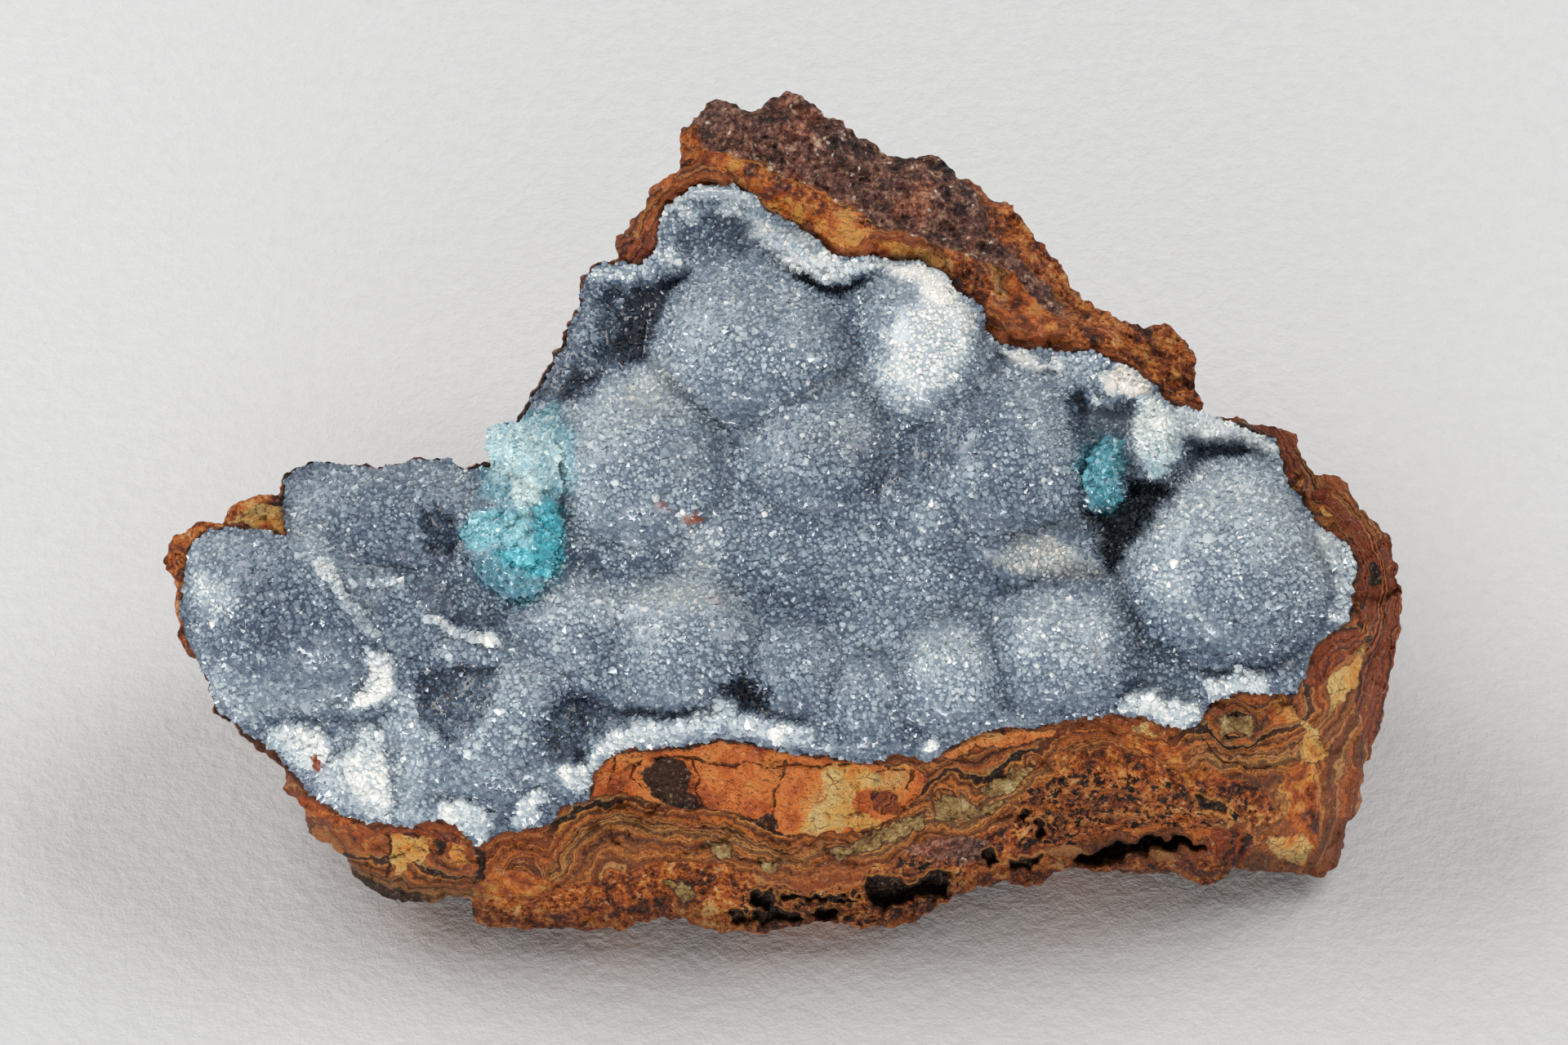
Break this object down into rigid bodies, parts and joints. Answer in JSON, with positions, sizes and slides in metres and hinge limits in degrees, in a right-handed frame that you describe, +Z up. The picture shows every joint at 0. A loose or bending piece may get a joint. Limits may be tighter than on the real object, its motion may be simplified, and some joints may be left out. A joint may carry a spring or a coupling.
{
  "type": "limonite mineral specimen lined with druzy quartz",
  "caption": "Hand-sized piece of banded brown limonite whose hollow is lined with a grey-blue druzy quartz crust over rounded domes, with blue-green chrysocolla growths.",
  "frame": {"origin": "centre of the bounding box's underside, on the flat base that rests on the table", "axes": "+Z up, +X to the viewer's right along the longest side, +Y away from the viewer towards the high back rim"},
  "size_m": [0.1212, 0.072, 0.0502],
  "materials": {
    "limonite": "natural banded and granular iron oxide, matt with small glossy grains",
    "druzy_quartz": "sparkling crust of fine quartz crystals",
    "chrysocolla": "blue-green crystal-dusted growth"
  },
  "bodies": {
    "root": {"limonite_matrix": "limonite", "quartz_crust": "druzy_quartz", "chrysocolla_growth_left": "chrysocolla", "chrysocolla_growth_right": "chrysocolla"}
  },
  "joints": []
}
